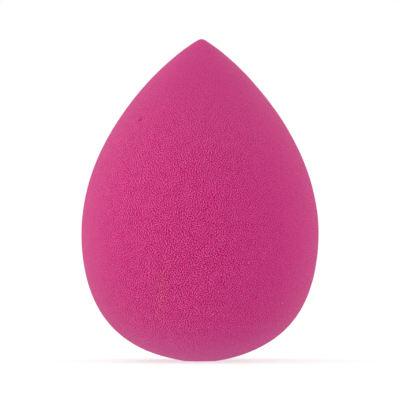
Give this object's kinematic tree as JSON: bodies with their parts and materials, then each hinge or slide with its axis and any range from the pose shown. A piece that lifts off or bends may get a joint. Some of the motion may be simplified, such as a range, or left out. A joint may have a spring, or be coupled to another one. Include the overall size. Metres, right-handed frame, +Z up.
{
  "type": "makeup sponge",
  "caption": "Teardrop makeup sponge in soft fine-celled foam, with a blunt pointed tip, a broad round body and a small flat foot to stand on.",
  "frame": {"origin": "middle of the flat foot, on the surface that the sponge stands on", "axes": "+Z up the sponge's axis from the foot to the tip; the body is round about Z, so X and Y are free, and -Y faces the picture's camera"},
  "size_m": [0.0442, 0.0442, 0.06],
  "materials": {
    "pink_foam": "matte"
  },
  "bodies": {
    "root": {"sponge_body": "pink_foam"}
  },
  "joints": []
}
